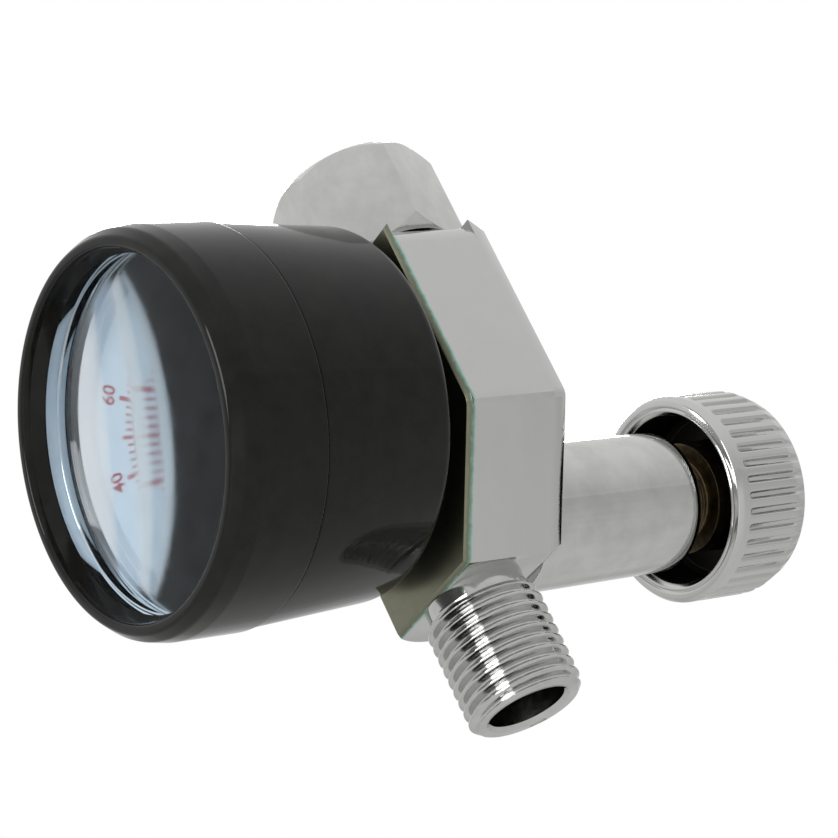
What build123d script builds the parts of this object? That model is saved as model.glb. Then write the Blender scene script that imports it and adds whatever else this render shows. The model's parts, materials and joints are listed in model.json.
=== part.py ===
"""Air pressure regulator for a spray gun: body, valve, adjusting knob and a dial gauge.

Millimetres. Origin at the mouth of the swivel nut's threaded hole, on its axis.
+Z runs out of that hole towards the gun, -Y is the side the dial faces.
"""

import os
from math import cos, radians, sin, sqrt

from build123d import *

os.makedirs("parts", exist_ok=True)

# Places of the main axes
GAUGE_X = -6.6
GAUGE_Z = -25.75
DIAL_Y = -29.3
INLET_X = -9.2
INLET_Y = -1.0
KNOB_X = INLET_X
KNOB_Z = -40.05

# Regulator body
BODY_FRONT = -7.0
BODY_BACK = 7.0
BODY_TOP = -12.7
BODY_BOTTOM = -48.6
BODY_RIGHT = 10.4
BEVEL_DEPTH = 2.4
BEVEL_TAPER = 22.6
FRONT_CHAMFER = 0.5
CHAMFER_TAPER = 42
CORNER_ROUND = 2.5
SHOULDER_ROUND = 5.0
BOSS_R = 9.45

# Outlet spigot and swivel nut
NUT_FLATS = 17.0
NUT_TURN = -6.7
NUT_LENGTH = 12.1
PORT_R = 6.63
PORT_LENGTH = 5.4
NUT_NECK_R = 4.53
SPIGOT_R = 4.45
SPIGOT_BORE_R = 2.6
SPIGOT_FLANGE_R = 5.9
SPIGOT_TOP = -6.5
SHOULDER_Z = -8.5

# Inlet nipple, G 1/4 male thread
THREAD_R = 6.58
THREAD_TOP = -50.0
THREAD_END = -62.9
NIPPLE_NECK_R = 5.75
NIPPLE_SHANK_R = 5.0
NIPPLE_SHANK_TOP = -46.0
INLET_BORE_R = 4.35

# Valve line, along Y at the knob's axis
CHAMBER_R = 4.2
CHAMBER_FRONT = -5.4
SEAT_BACK = 1.0
SEAT_FRONT = -1.2
SEAT_R = 5.0
OUT_CHAMBER_R = 5.2
BONNET_THREAD_R = 6.5
BONNET_FRONT = 4.0
PISTON_BORE_R = 5.5
PISTON_FRONT = 4.4
PISTON_BACK = 10.6
BONNET_R = 8.3
BONNET_END_R = 8.1
BONNET_END = 30.65
SCREW_R = 5.0
SCREW_CLEARANCE = 0.05
SCREW_NECK_Y = 23.0
SCREW_TIP = 21.6
BUTTON_FRONT = 20.2

# Knob
KNOB_RIM = 32.3
KNOB_END = 44.3
KNOB_R = 12.05
KNOB_OPENING_R = 9.8
KNOB_FLOOR = 39.5
COLLAR_R = 6.5
COLLAR_FRONT = 34.2
COLLAR_BACK = 36.0
DRIVE_R = 4.0
FLUTES = 40
FLUTE_WIDTH = 0.85
FLUTE_DEPTH = 0.5

# Gauge shell
WINDOW_R = 18.8
BEZEL_R = 21.85
BEZEL_BORE_R = 20.5
BEZEL_NOSE = -37.9
BEZEL_BACK = -26.7
CASE_R = 21.65
CASE_BACK_R = 20.6
CASE_BORE_R = 18.9
CASE_BACK = -9.95
CASE_SCREW_X = 7.4
DIAL_THICKNESS = 0.6
DIAL_R = 19.8
LENS_FRONT = -35.3
LENS_BACK = -33.7
LENS_R = 19.25
RING_LEDGE = -33.1

# Gauge movement, seen from the dial with angles clockwise from straight up
MODULE = 0.2
PINION_TEETH = 10
SECTOR_TEETH = 90
ADDENDUM = 0.14
DEDENDUM = 0.22
TOOTH_FILL = 0.36
SECTOR_Z = GAUGE_Z - MODULE * (PINION_TEETH + SECTOR_TEETH) / 2
FRONT_PLATE = (DIAL_Y + 1.9, DIAL_Y + 2.5)
BACK_PLATE = (DIAL_Y + 6.5, DIAL_Y + 7.1)
GEAR_FRONT = DIAL_Y + 4.3
GEAR_BACK = DIAL_Y + 5.3
PINION_FRONT = DIAL_Y + 3.7
PINION_BACK = DIAL_Y + 5.9
ARBOR_R = 0.4
PIVOT_HOLE_R = 0.45
PLATE_HALF_WIDTH = 5.2
PLATE_TOP = GAUGE_Z + 4.6
PLATE_BOTTOM = GAUGE_Z - 11.6
POST_X = 3.9
UPPER_POST_Z = GAUGE_Z + 3.0
LOWER_POST_Z = GAUGE_Z - 8.2
DIAL_SCREW_X = 3.7
DIAL_SCREW_Z = GAUGE_Z - 9.2
NEEDLE_FRONT = DIAL_Y - 1.9
NEEDLE_BACK = DIAL_Y - 1.5
ZERO_ANGLE = 228.5
NEEDLE_LENGTH = 16.4
TAIL_LENGTH = 7.4
TAIL_PIN_R = 3.2
TAIL_ANGLE = 195
LINK_FRONT = DIAL_Y + 5.55
LINK_BACK = DIAL_Y + 6.05
TUBE_R = 14.0
TUBE_ROOT = 215
TUBE_TIP = 150
TUBE_FRONT = DIAL_Y + 8.4
TUBE_BACK = DIAL_Y + 13.4
TIP_PIN_X = GAUGE_X + 7.0
TIP_PIN_Z = GAUGE_Z - 12.6
SOCKET_FRONT = BACK_PLATE[1]
SOCKET_BACK = CASE_BACK - 2.2
SOCKET_EARS = CASE_BACK - 4.6
SOCKET_THREAD_R = 4.86
SOCKET_SHOULDER = BODY_FRONT - 0.9
SOCKET_TIP = -1.0


def turn_y(x, z, points, mode=Mode.ADD):
    """Turn (radius, y) points about the line through x, z that runs along Y."""
    with BuildSketch(Plane((x, 0, z))) as profile:
        with BuildLine():
            Polyline(*points, close=True)
        make_face()
    revolve(profile.sketch, axis=Axis((x, 0, z), (0, 1, 0)), mode=mode)


def turn_z(x, y, points, mode=Mode.ADD):
    """Turn (radius, z) points about the line through x, y that runs along Z."""
    with BuildSketch(Plane((x, y, 0), x_dir=(1, 0, 0), z_dir=(0, -1, 0))) as profile:
        with BuildLine():
            Polyline(*points, close=True)
        make_face()
    revolve(profile.sketch, axis=Axis((x, y, 0), (0, 0, 1)), mode=mode)


def rod_y(x, z, radius, y_from, y_to, mode=Mode.ADD):
    """A plain rod along Y."""
    turn_y(x, z, [(0, y_from), (radius, y_from), (radius, y_to), (0, y_to)], mode)


def rod_z(x, y, radius, z_from, z_to, mode=Mode.ADD):
    """A plain rod along Z."""
    turn_z(x, y, [(0, z_from), (radius, z_from), (radius, z_to), (0, z_to)], mode)


def front_plane(y):
    """A sketch plane facing +Y whose axes are -X and +Z, at the given y."""
    return Plane((0, y, 0), x_dir=(-1, 0, 0), z_dir=(0, 1, 0))


def plate_y(points, y_from, y_to, mode=Mode.ADD):
    """A flat plate of (x, z) points between two y levels."""
    with BuildSketch(front_plane(y_from)) as outline:
        with BuildLine():
            Polyline(*[(-x, z) for x, z in points], close=True)
        make_face()
    extrude(outline.sketch, amount=y_to - y_from, mode=mode)


def box_between(low, high, mode=Mode.ADD):
    """A box from its low corner to its high corner."""
    size = [b - a for a, b in zip(low, high)]
    centre = [(a + b) / 2 for a, b in zip(low, high)]
    with Locations(tuple(centre)):
        Box(*size, mode=mode)


def dial_point(radius, angle):
    """The (x, z) place at a radius and a clockwise angle on the dial."""
    turn = radians(angle)
    return (GAUGE_X + radius * sin(turn), GAUGE_Z + radius * cos(turn))


def about(x, z, radius, angle):
    """The (x, z) place at a radius and clockwise angle from another place."""
    turn = radians(angle)
    return (x + radius * sin(turn), z + radius * cos(turn))


def finish(builder, name):
    """Label a part and write its file."""
    builder.part.label = name
    export_step(builder.part, f"parts/{name}.step")


# Regulator body: a cranked block, round on the left and flat on the right
OUTLINE = [
    (BODY_RIGHT, BODY_TOP),
    (BODY_RIGHT, -35.7),
    (-1.4, BODY_BOTTOM),
    (INLET_X - BOSS_R, BODY_BOTTOM),
    (INLET_X - BOSS_R, -21.7),
    (-10.2, BODY_TOP),
]


def body_outline(y):
    """The block's outline as a sketch at one y level, its right corners rounded."""
    with BuildSketch(front_plane(y)) as outline:
        with BuildLine():
            Polyline(*[(-x, z) for x, z in OUTLINE], close=True)
        make_face()
        right_corners = outline.vertices().group_by(Axis.X)[0].sort_by(Axis.Z)
        fillet(right_corners[-1], radius=CORNER_ROUND)
        fillet(right_corners[0], radius=SHOULDER_ROUND)
    return outline.sketch


with BuildPart() as regulator_body:
    front_level = BODY_FRONT + FRONT_CHAMFER
    bevel_level = BODY_BACK - BEVEL_DEPTH
    extrude(body_outline(front_level), amount=bevel_level - front_level)
    extrude(body_outline(bevel_level), amount=BEVEL_DEPTH, taper=BEVEL_TAPER)
    extrude(body_outline(front_level), amount=-FRONT_CHAMFER, taper=CHAMFER_TAPER)
    with BuildSketch(Plane.XY.offset(BODY_BOTTOM - 1)) as plan:
        with Locations((INLET_X, INLET_Y)):
            Circle(BOSS_R)
        with Locations(((INLET_X + BODY_RIGHT + 2) / 2, 0)):
            Rectangle(BODY_RIGHT + 2 - INLET_X, 2 * BODY_BACK + 4)
    extrude(plan.sketch, amount=BODY_TOP - BODY_BOTTOM + 2, mode=Mode.INTERSECT)
    # Outlet side
    rod_z(0, 0, SPIGOT_R, -18.0, BODY_TOP + 1, Mode.SUBTRACT)
    rod_z(0, 0, SPIGOT_BORE_R, -41.6, -17.5, Mode.SUBTRACT)
    # Inlet side
    rod_z(INLET_X, INLET_Y, NIPPLE_SHANK_R, BODY_BOTTOM - 1, NIPPLE_SHANK_TOP, Mode.SUBTRACT)
    rod_z(INLET_X, INLET_Y - 1.8, 1.8, NIPPLE_SHANK_TOP - 0.5, KNOB_Z, Mode.SUBTRACT)
    # Valve line from the back
    rod_y(KNOB_X, KNOB_Z, CHAMBER_R, CHAMBER_FRONT, BODY_BACK + 1, Mode.SUBTRACT)
    rod_y(KNOB_X, KNOB_Z, SEAT_R, SEAT_FRONT, BODY_BACK + 1, Mode.SUBTRACT)
    rod_y(KNOB_X, KNOB_Z, OUT_CHAMBER_R, SEAT_BACK, BODY_BACK + 1, Mode.SUBTRACT)
    rod_y(KNOB_X, KNOB_Z, BONNET_THREAD_R, BONNET_FRONT, BODY_BACK + 1, Mode.SUBTRACT)
    with Locations(Location((KNOB_X / 2, 2.5, KNOB_Z), (0, 90, 0))):
        Cylinder(1.4, -KNOB_X, mode=Mode.SUBTRACT)
    # Gauge port and its small passage to the outlet side
    rod_y(GAUGE_X, GAUGE_Z, SOCKET_THREAD_R, BODY_FRONT - 1, 0.5, Mode.SUBTRACT)
    with Locations(Location((GAUGE_X / 2, -0.3, GAUGE_Z), (0, 90, 0))):
        Cylinder(0.6, -GAUGE_X, mode=Mode.SUBTRACT)
finish(regulator_body, "regulator_body")

# Swivel nut with its female thread as a plain wall
with BuildPart() as swivel_nut:
    with BuildSketch(Plane.XY.offset(-NUT_LENGTH)) as hexagon:
        RegularPolygon(NUT_FLATS / 2, 6, major_radius=False, rotation=NUT_TURN)
    extrude(amount=NUT_LENGTH)
    corner = NUT_FLATS / sqrt(3) - NUT_FLATS / 2 + 0.1
    cone = NUT_FLATS / 2 - 0.1
    turn_z(
        0,
        0,
        [
            (0, -NUT_LENGTH),
            (cone, -NUT_LENGTH),
            (cone + corner + 0.2, -NUT_LENGTH + corner + 0.2),
            (cone + corner + 0.2, -corner - 0.2),
            (cone, 0),
            (0, 0),
        ],
        Mode.INTERSECT,
    )
    turn_z(
        0,
        0,
        [
            (0, 1),
            (PORT_R, 1),
            (PORT_R, -PORT_LENGTH),
            (PORT_R + 0.35, -PORT_LENGTH - 0.35),
            (PORT_R + 0.35, SHOULDER_Z),
            (NUT_NECK_R, SHOULDER_Z),
            (NUT_NECK_R, -NUT_LENGTH - 1),
            (0, -NUT_LENGTH - 1),
        ],
        Mode.SUBTRACT,
    )
finish(swivel_nut, "swivel_nut")

with BuildPart() as outlet_spigot:
    turn_z(
        0,
        0,
        [
            (SPIGOT_BORE_R, -18.0),
            (SPIGOT_R, -18.0),
            (SPIGOT_R, SHOULDER_Z + 0.25),
            (SPIGOT_FLANGE_R, SHOULDER_Z + 0.25),
            (SPIGOT_FLANGE_R, SPIGOT_TOP - 0.3),
            (SPIGOT_FLANGE_R - 0.3, SPIGOT_TOP),
            (SPIGOT_BORE_R + 0.8, SPIGOT_TOP),
            (SPIGOT_BORE_R, SPIGOT_TOP - 0.8),
        ],
    )
finish(outlet_spigot, "outlet_spigot")

with BuildPart() as outlet_washer:
    washer_front = -PORT_LENGTH - 0.15
    turn_z(0, 0, [(3.6, SPIGOT_TOP), (5.5, SPIGOT_TOP), (5.5, washer_front), (3.6, washer_front)])
finish(outlet_washer, "outlet_washer")

# Inlet nipple with its male thread as a plain wall
with BuildPart() as inlet_nipple:
    turn_z(
        INLET_X,
        INLET_Y,
        [
            (3.2, NIPPLE_SHANK_TOP),
            (NIPPLE_SHANK_R, NIPPLE_SHANK_TOP),
            (NIPPLE_SHANK_R, BODY_BOTTOM),
            (NIPPLE_NECK_R, BODY_BOTTOM),
            (NIPPLE_NECK_R, THREAD_TOP),
            (THREAD_R, THREAD_TOP),
            (THREAD_R, THREAD_END + 0.8),
            (THREAD_R - 0.8, THREAD_END),
            (INLET_BORE_R + 0.5, THREAD_END),
            (INLET_BORE_R, THREAD_END + 0.5),
            (INLET_BORE_R, -51.0),
            (3.2, -50.0),
        ],
    )
finish(inlet_nipple, "inlet_nipple")

# Valve seat, its ring, the poppet with its rubber face and its spring
with BuildPart() as valve_seat:
    turn_y(
        KNOB_X,
        KNOB_Z,
        [
            (1.3, SEAT_FRONT - 0.3),
            (1.8, SEAT_FRONT - 0.3),
            (2.1, SEAT_FRONT),
            (SEAT_R, SEAT_FRONT),
            (SEAT_R, SEAT_FRONT + 0.6),
            (SEAT_R - 0.9, SEAT_FRONT + 0.6),
            (SEAT_R - 0.9, SEAT_BACK - 0.5),
            (SEAT_R, SEAT_BACK - 0.5),
            (SEAT_R, SEAT_BACK),
            (1.3, SEAT_BACK),
        ],
    )
finish(valve_seat, "valve_seat")

with BuildPart() as seat_ring:
    ring_r = 0.44
    with BuildSketch(Plane((KNOB_X, 0, KNOB_Z))) as ring_profile:
        with Locations((SEAT_R - ring_r - 0.01, (SEAT_FRONT + SEAT_BACK + 0.1) / 2)):
            Circle(ring_r)
    revolve(ring_profile.sketch, axis=Axis((KNOB_X, 0, KNOB_Z), (0, 1, 0)))
finish(seat_ring, "seat_ring")

POPPET_FACE = SEAT_FRONT - 0.35
with BuildPart() as poppet:
    turn_y(
        KNOB_X,
        KNOB_Z,
        [
            (0, -4.5),
            (1.2, -4.5),
            (1.2, -3.4),
            (3.2, -3.4),
            (3.2, POPPET_FACE - 0.2),
            (2.8, POPPET_FACE - 0.2),
            (2.8, POPPET_FACE - 1.0),
            (0.8, POPPET_FACE - 1.0),
            (0.8, 2.2),
            (0, 2.2),
        ],
    )
finish(poppet, "poppet")

with BuildPart() as poppet_seal:
    seal_back = POPPET_FACE - 1.0
    turn_y(KNOB_X, KNOB_Z, [(0.8, seal_back), (2.8, seal_back), (2.8, POPPET_FACE), (0.8, POPPET_FACE)])
finish(poppet_seal, "poppet_seal")


def coil_spring(mean_r, wire_r, y_from, y_to, turns):
    """A round-wire coil along the knob's axis."""
    height = y_to - y_from - 2 * wire_r
    with BuildLine() as coil:
        Helix(height / turns, height, mean_r, center=(KNOB_X, y_from + wire_r, KNOB_Z), direction=(0, 1, 0))
    with BuildSketch(Plane(origin=coil.line @ 0, z_dir=coil.line % 0)) as section:
        Circle(wire_r)
    sweep(section.sketch, path=coil.line, is_frenet=True)


with BuildPart() as poppet_spring:
    coil_spring(2.2, 0.2, CHAMBER_FRONT + 0.02, -3.42, 3)
finish(poppet_spring, "poppet_spring")

# Piston and its ring, the range spring and the button the screw presses on
with BuildPart() as piston:
    turn_y(
        KNOB_X,
        KNOB_Z,
        [
            (0, 2.3),
            (1.6, 2.3),
            (1.6, PISTON_FRONT),
            (4.6, PISTON_FRONT),
            (PISTON_BORE_R - 0.08, PISTON_FRONT + 0.8),
            (PISTON_BORE_R - 0.08, 6.6),
            (3.7, 6.6),
            (3.7, 8.6),
            (PISTON_BORE_R - 0.08, 8.6),
            (PISTON_BORE_R - 0.08, PISTON_BACK),
            (2.9, PISTON_BACK),
            (2.9, PISTON_BACK + 1.0),
            (2.4, PISTON_BACK + 1.6),
            (0, PISTON_BACK + 1.6),
        ],
    )
finish(piston, "piston")

with BuildPart() as piston_ring:
    ring_r = 0.85
    with BuildSketch(Plane((KNOB_X, 0, KNOB_Z))) as ring_profile:
        with Locations((PISTON_BORE_R - ring_r - 0.04, 7.6)):
            Circle(ring_r)
    revolve(ring_profile.sketch, axis=Axis((KNOB_X, 0, KNOB_Z), (0, 1, 0)))
finish(piston_ring, "piston_ring")

with BuildPart() as range_spring:
    coil_spring(3.9, 0.6, PISTON_BACK + 0.02, BUTTON_FRONT - 0.02, 5)
finish(range_spring, "range_spring")

with BuildPart() as spring_button:
    turn_y(
        KNOB_X,
        KNOB_Z,
        [
            (0, BUTTON_FRONT - 1.2),
            (2.4, BUTTON_FRONT - 1.2),
            (2.9, BUTTON_FRONT - 0.7),
            (2.9, BUTTON_FRONT),
            (5.2, BUTTON_FRONT),
            (5.2, SCREW_TIP - 0.06),
            (0, SCREW_TIP - 0.06),
        ],
    )
finish(spring_button, "spring_button")

# Bonnet tube, screwed into the body's back, and its gasket
with BuildPart() as bonnet:
    end_round = 1.9
    with BuildSketch(Plane((KNOB_X, 0, KNOB_Z))) as bonnet_profile:
        with BuildLine():
            Polyline(
                (SCREW_R + SCREW_CLEARANCE, BONNET_END),
                (SCREW_R + SCREW_CLEARANCE, SCREW_NECK_Y),
                (PISTON_BORE_R, SCREW_NECK_Y - 0.45),
                (PISTON_BORE_R, BONNET_FRONT + 0.1),
                (BONNET_THREAD_R, BONNET_FRONT + 0.1),
                (BONNET_THREAD_R, BODY_BACK + 0.01),
                (BONNET_R, BODY_BACK + 0.01),
                (BONNET_END_R, BONNET_END - end_round),
            )
            RadiusArc(
                (BONNET_END_R, BONNET_END - end_round), (BONNET_END_R - end_round, BONNET_END), end_round
            )
            Line((BONNET_END_R - end_round, BONNET_END), (SCREW_R + SCREW_CLEARANCE, BONNET_END))
        make_face()
    revolve(bonnet_profile.sketch, axis=Axis((KNOB_X, 0, KNOB_Z), (0, 1, 0)))
finish(bonnet, "bonnet")

# Brass adjusting screw, knob and the screw that holds the knob on
with BuildPart() as adjusting_screw:
    turn_y(
        KNOB_X,
        KNOB_Z,
        [
            (0, SCREW_TIP),
            (SCREW_R - 0.8, SCREW_TIP),
            (SCREW_R, SCREW_TIP + 0.8),
            (SCREW_R, COLLAR_FRONT),
            (COLLAR_R, COLLAR_FRONT),
            (COLLAR_R, COLLAR_BACK),
            (DRIVE_R, COLLAR_BACK),
            (DRIVE_R, 42.2),
            (1.5, 42.2),
            (1.5, 36.0),
            (0, 36.0),
        ],
    )
finish(adjusting_screw, "adjusting_screw")

with BuildPart() as adjusting_knob:
    with BuildSketch(front_plane(KNOB_RIM)) as fluted:
        with Locations((-KNOB_X, KNOB_Z)):
            Circle(KNOB_R)
        with Locations((-KNOB_X, KNOB_Z)):
            with PolarLocations(KNOB_R, FLUTES):
                Rectangle(2 * FLUTE_DEPTH, FLUTE_WIDTH, mode=Mode.SUBTRACT)
    extrude(amount=KNOB_END - KNOB_RIM)
    turn_y(
        KNOB_X,
        KNOB_Z,
        [
            (0, KNOB_RIM),
            (KNOB_R - 0.8, KNOB_RIM),
            (KNOB_R, KNOB_RIM + 0.9),
            (KNOB_R, KNOB_END - 3.1),
            (KNOB_R - 0.35, KNOB_END - 1.6),
            (KNOB_R - 1.1, KNOB_END - 0.5),
            (KNOB_R - 2.1, KNOB_END),
            (0, KNOB_END),
        ],
        Mode.INTERSECT,
    )
    turn_y(
        KNOB_X,
        KNOB_Z,
        [
            (KNOB_OPENING_R, KNOB_RIM),
            (KNOB_R - 0.8, KNOB_RIM),
            (KNOB_R, KNOB_RIM + 0.9),
            (KNOB_R, KNOB_RIM + 1.7),
            (KNOB_OPENING_R, KNOB_RIM + 1.7),
        ],
    )
    turn_y(
        KNOB_X,
        KNOB_Z,
        [
            (0, KNOB_RIM - 1),
            (KNOB_OPENING_R + 1.7, KNOB_RIM - 1),
            (KNOB_OPENING_R, KNOB_RIM + 0.7),
            (KNOB_OPENING_R, KNOB_FLOOR - 0.6),
            (KNOB_OPENING_R - 0.6, KNOB_FLOOR),
            (COLLAR_R, KNOB_FLOOR),
            (COLLAR_R, COLLAR_BACK),
            (0, COLLAR_BACK),
        ],
        Mode.SUBTRACT,
    )
    turn_y(
        KNOB_X,
        KNOB_Z,
        [
            (0, COLLAR_BACK - 1),
            (DRIVE_R, COLLAR_BACK - 1),
            (DRIVE_R, 42.3),
            (1.6, 42.3),
            (1.6, 43.0),
            (3.4, 43.0),
            (3.4, 43.6),
            (9.0, 43.6),
            (9.3, KNOB_END + 0.1),
            (0, KNOB_END + 0.1),
        ],
        Mode.SUBTRACT,
    )
finish(adjusting_knob, "adjusting_knob")

with BuildPart() as knob_screw:
    turn_y(
        KNOB_X,
        KNOB_Z,
        [(0, 37.0), (1.5, 37.0), (1.5, 43.0), (3.2, 43.0), (3.2, 44.0), (2.8, KNOB_END), (0, KNOB_END)],
    )
    box_between((KNOB_X - 0.4, 43.7, KNOB_Z - 3.3), (KNOB_X + 0.4, 45, KNOB_Z + 3.3), Mode.SUBTRACT)
finish(knob_screw, "knob_screw")

# Gauge shell: case, bezel, lens, lens gasket and dial ring
with BuildPart() as gauge_case:
    with BuildSketch(Plane((GAUGE_X, 0, GAUGE_Z))) as case_profile:
        with BuildLine():
            Polyline(
                (5.6, CASE_BACK),
                (CASE_BACK_R - 1.3, CASE_BACK),
                (CASE_BACK_R - 0.4, CASE_BACK - 0.4),
                (CASE_BACK_R, CASE_BACK - 1.3),
                (CASE_R, BEZEL_BACK + 0.4),
                (CASE_R - 0.3, BEZEL_BACK),
                (BEZEL_BORE_R - 0.05, BEZEL_BACK),
                (BEZEL_BORE_R - 0.05, RING_LEDGE),
                (DIAL_R + 0.15, RING_LEDGE),
                (DIAL_R + 0.15, DIAL_Y + DIAL_THICKNESS),
                (CASE_BORE_R, DIAL_Y + DIAL_THICKNESS),
                (CASE_BORE_R, SOCKET_BACK),
                (5.6, SOCKET_BACK),
                close=True,
            )
        make_face()
    revolve(case_profile.sketch, axis=Axis((GAUGE_X, 0, GAUGE_Z), (0, 1, 0)))
    for side in (-1, 1):
        rod_y(GAUGE_X + side * CASE_SCREW_X, GAUGE_Z, 1.1, SOCKET_BACK - 1, CASE_BACK + 1, Mode.SUBTRACT)
finish(gauge_case, "gauge_case")

with BuildPart() as gauge_bezel:
    lip = (WINDOW_R + 0.55, BEZEL_NOSE + 0.9)
    crest = (WINDOW_R + 1.3, BEZEL_NOSE)
    shoulder = (WINDOW_R + 2.15, BEZEL_NOSE + 0.75)
    flank = (BEZEL_R, BEZEL_NOSE + 3.3)
    with BuildSketch(Plane((GAUGE_X, 0, GAUGE_Z))) as bezel_profile:
        with BuildLine():
            Polyline(
                (BEZEL_BORE_R, BEZEL_BACK - 0.02),
                (BEZEL_BORE_R, LENS_FRONT),
                (WINDOW_R, LENS_FRONT),
                (WINDOW_R, LENS_FRONT - 0.15),
                lip,
            )
            ThreePointArc(lip, crest, shoulder)
            ThreePointArc(shoulder, (BEZEL_R - 0.25, BEZEL_NOSE + 1.9), flank)
            Polyline(
                flank,
                (BEZEL_R, BEZEL_BACK - 0.4),
                (BEZEL_R - 0.3, BEZEL_BACK - 0.02),
                (BEZEL_BORE_R, BEZEL_BACK - 0.02),
            )
        make_face()
    revolve(bezel_profile.sketch, axis=Axis((GAUGE_X, 0, GAUGE_Z), (0, 1, 0)))
finish(gauge_bezel, "gauge_bezel")

with BuildPart() as gauge_lens:
    rod_y(GAUGE_X, GAUGE_Z, LENS_R, LENS_FRONT + 0.01, LENS_BACK)
finish(gauge_lens, "gauge_lens")

with BuildPart() as lens_gasket:
    turn_y(
        GAUGE_X,
        GAUGE_Z,
        [
            (WINDOW_R + 0.1, LENS_BACK),
            (LENS_R, LENS_BACK),
            (LENS_R, RING_LEDGE),
            (WINDOW_R + 0.1, RING_LEDGE),
        ],
    )
finish(lens_gasket, "lens_gasket")

with BuildPart() as dial_ring:
    turn_y(
        GAUGE_X,
        GAUGE_Z,
        [
            (LENS_R + 0.05, LENS_FRONT + 0.01),
            (BEZEL_BORE_R - 0.1, LENS_FRONT + 0.01),
            (BEZEL_BORE_R - 0.1, RING_LEDGE),
            (DIAL_R + 0.1, RING_LEDGE),
            (DIAL_R + 0.1, DIAL_Y),
            (WINDOW_R + 0.1, DIAL_Y),
            (WINDOW_R + 0.1, RING_LEDGE),
            (LENS_R + 0.05, RING_LEDGE),
        ],
    )
finish(dial_ring, "dial_ring")

with BuildPart() as dial_plate:
    dial_back = DIAL_Y + DIAL_THICKNESS
    rod_y(GAUGE_X, GAUGE_Z, DIAL_R, DIAL_Y, dial_back)
    rod_y(GAUGE_X, GAUGE_Z, 2.0, DIAL_Y - 1, dial_back + 1, Mode.SUBTRACT)
    for side in (-1, 1):
        rod_y(GAUGE_X + side * DIAL_SCREW_X, DIAL_SCREW_Z, 0.75, DIAL_Y - 1, dial_back + 1, Mode.SUBTRACT)
finish(dial_plate, "dial_plate")

with BuildPart() as dial_screws:
    for side in (-1, 1):
        x = GAUGE_X + side * DIAL_SCREW_X
        turn_y(
            x,
            DIAL_SCREW_Z,
            [
                (0, DIAL_Y - 0.75),
                (0.9, DIAL_Y - 0.7),
                (1.4, DIAL_Y - 0.3),
                (1.4, DIAL_Y),
                (0.7, DIAL_Y),
                (0.7, FRONT_PLATE[1]),
                (0, FRONT_PLATE[1]),
            ],
        )
        for half_x, half_z in ((0.17, 0.75), (0.75, 0.17)):
            box_between(
                (x - half_x, DIAL_Y - 1, DIAL_SCREW_Z - half_z),
                (x + half_x, DIAL_Y - 0.4, DIAL_SCREW_Z + half_z),
                Mode.SUBTRACT,
            )
finish(dial_screws, "dial_screws")

with BuildPart() as dial_spacers:
    for side in (-1, 1):
        turn_y(
            GAUGE_X + side * DIAL_SCREW_X,
            DIAL_SCREW_Z,
            [
                (0.75, DIAL_Y + DIAL_THICKNESS),
                (1.3, DIAL_Y + DIAL_THICKNESS),
                (1.3, FRONT_PLATE[0]),
                (0.75, FRONT_PLATE[0]),
            ],
        )
finish(dial_spacers, "dial_spacers")

STOP_R = 13.3
STOP_ANGLE = ZERO_ANGLE - 4.4
with BuildPart() as stop_pin:
    stop_x, stop_z = dial_point(STOP_R, STOP_ANGLE)
    turn_y(
        stop_x,
        stop_z,
        [
            (0, DIAL_Y - 3.0),
            (0.35, DIAL_Y - 3.0),
            (0.45, DIAL_Y - 2.9),
            (0.45, DIAL_Y - 0.6),
            (1.1, DIAL_Y - 0.6),
            (1.3, DIAL_Y - 0.4),
            (1.3, DIAL_Y),
            (0, DIAL_Y),
        ],
    )
finish(stop_pin, "stop_pin")

# Pointer, and its arbor with the pinion
with BuildPart() as pointer:
    needle = [
        about(GAUGE_X, GAUGE_Z, NEEDLE_LENGTH, ZERO_ANGLE - 1.6),
        about(GAUGE_X, GAUGE_Z, NEEDLE_LENGTH, ZERO_ANGLE + 1.6),
        about(GAUGE_X, GAUGE_Z, 2.0, ZERO_ANGLE + 24),
        about(GAUGE_X, GAUGE_Z, 2.0, ZERO_ANGLE + 180 - 24),
        about(GAUGE_X, GAUGE_Z, TAIL_LENGTH, ZERO_ANGLE + 180 - 9),
        about(GAUGE_X, GAUGE_Z, TAIL_LENGTH, ZERO_ANGLE + 180 + 9),
        about(GAUGE_X, GAUGE_Z, 2.0, ZERO_ANGLE + 180 + 24),
        about(GAUGE_X, GAUGE_Z, 2.0, ZERO_ANGLE - 24),
    ]
    plate_y(needle, NEEDLE_FRONT, NEEDLE_BACK)
    turn_y(
        GAUGE_X,
        GAUGE_Z,
        [
            (0, DIAL_Y - 2.3),
            (2.25, DIAL_Y - 2.3),
            (2.25, DIAL_Y - 1.3),
            (1.2, DIAL_Y - 1.3),
            (1.2, DIAL_Y - 0.7),
            (0, DIAL_Y - 0.7),
        ],
    )
    rod_y(GAUGE_X, GAUGE_Z, 0.6, DIAL_Y - 3.9, DIAL_Y + 0.1, Mode.SUBTRACT)
finish(pointer, "pointer")

with BuildPart() as pointer_hub:
    turn_y(
        GAUGE_X,
        GAUGE_Z,
        [
            (0.6, DIAL_Y - 2.9),
            (1.5, DIAL_Y - 2.9),
            (1.9, DIAL_Y - 2.6),
            (1.9, DIAL_Y - 2.3),
            (0.6, DIAL_Y - 2.3),
        ],
    )
finish(pointer_hub, "pointer_hub")


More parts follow.
